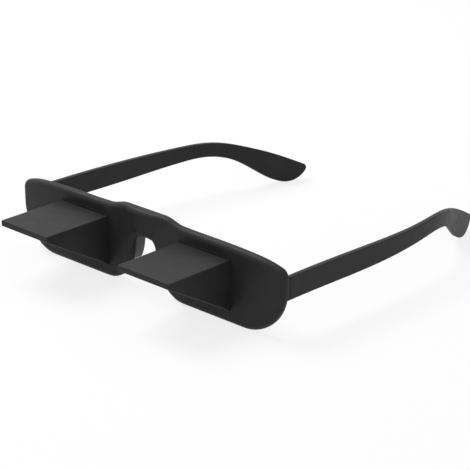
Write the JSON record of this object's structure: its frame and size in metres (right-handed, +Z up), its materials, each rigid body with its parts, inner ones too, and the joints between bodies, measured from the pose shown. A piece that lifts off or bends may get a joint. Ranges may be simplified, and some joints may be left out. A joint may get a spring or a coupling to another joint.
{
  "type": "prism bed glasses",
  "caption": "Folding bed glasses with a square prism hood in front of each eye, a one-piece front and straight temples that end in drooping paddles.",
  "frame": {"origin": "centre of the bounding box in plan, on the surface that the lower rim and the temple paddles rest on", "axes": "+X across the glasses towards the wearer's left, +Y from the hoods to the temple tips, +Z up"},
  "size_m": [0.1372, 0.1724, 0.0319],
  "materials": {
    "frame_plastic": "satin black",
    "hood_plastic": "satin black",
    "bezel_plastic": "fine matt black",
    "pad_rubber": "soft satin black",
    "prism_glass": "polished",
    "silvering": "silvered",
    "cushion_foam": "matt foam",
    "hinge_steel": "brushed",
    "screw_steel": "turned"
  },
  "bodies": {
    "frame": {"front_frame": "frame_plastic", "hood_left": "hood_plastic", "prism_left": "prism_glass", "prism_mirror_left": "silvering", "mirror_cushion_left": "cushion_foam", "rear_bezel_left": "bezel_plastic", "bezel_screws_left": "screw_steel", "nose_pad_left": "pad_rubber", "front_hinge_leaf_left": "hinge_steel", "front_leaf_screws_left": "screw_steel", "hinge_pin_left": "screw_steel", "hood_right": "hood_plastic", "prism_right": "prism_glass", "prism_mirror_right": "silvering", "mirror_cushion_right": "cushion_foam", "rear_bezel_right": "bezel_plastic", "bezel_screws_right": "screw_steel", "nose_pad_right": "pad_rubber", "front_hinge_leaf_right": "hinge_steel", "front_leaf_screws_right": "screw_steel", "hinge_pin_right": "screw_steel"},
    "temple_left": {"temple_left": "frame_plastic", "temple_hinge_leaf_left": "hinge_steel", "temple_leaf_screws_left": "screw_steel"},
    "temple_right": {"temple_right": "frame_plastic", "temple_hinge_leaf_right": "hinge_steel", "temple_leaf_screws_right": "screw_steel"}
  },
  "joints": [
    {"name": "fold_left", "type": "hinge", "parent": "frame", "child": "temple_left", "pos_m": [0.0634, -0.04977, 0.01866], "axis": [0, -0.0267, 0.9996], "range_deg": [0, 83]},
    {"name": "fold_right", "type": "hinge", "parent": "frame", "child": "temple_right", "pos_m": [-0.0634, -0.04977, 0.01866], "axis": [0, 0.0267, -0.9996], "range_deg": [0, 72]}
  ]
}
